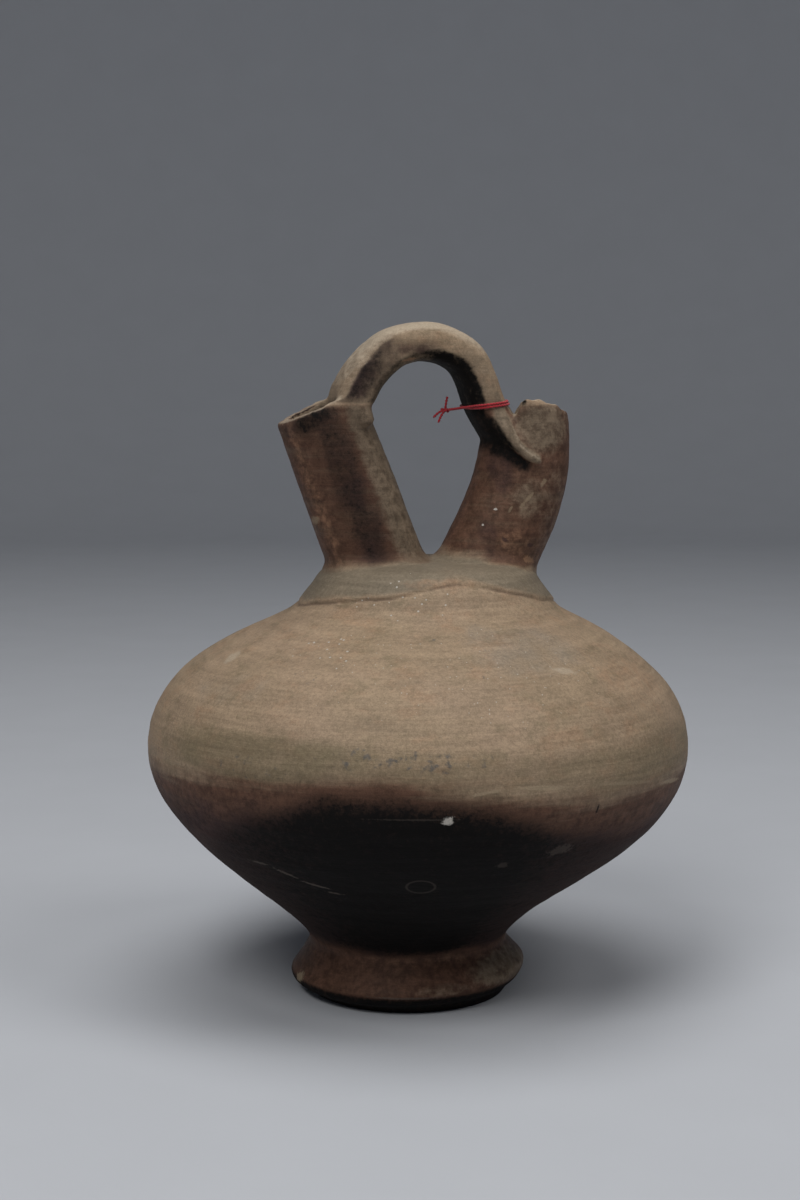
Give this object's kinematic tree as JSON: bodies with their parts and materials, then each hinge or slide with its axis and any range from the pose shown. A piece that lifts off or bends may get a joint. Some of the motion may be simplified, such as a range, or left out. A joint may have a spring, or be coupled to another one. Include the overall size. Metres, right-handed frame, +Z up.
{
  "type": "ritual water vessel",
  "caption": "Hollow fired-clay water vessel with a squat belly on a ring foot, two leaning open spouts and a strap handle arched between them, a cotton thread tied round it.",
  "frame": {"origin": "on the ground below the centre of the belly", "axes": "+Z up, +X from the slanting spout towards the spout that straightens up, -Y the front"},
  "size_m": [0.186, 0.186, 0.2306],
  "materials": {
    "fired_clay": "burnished matt, soot stained",
    "red_cotton": "twisted cotton"
  },
  "bodies": {
    "root": {"vessel": "fired_clay", "tie_thread": "red_cotton"}
  },
  "joints": []
}
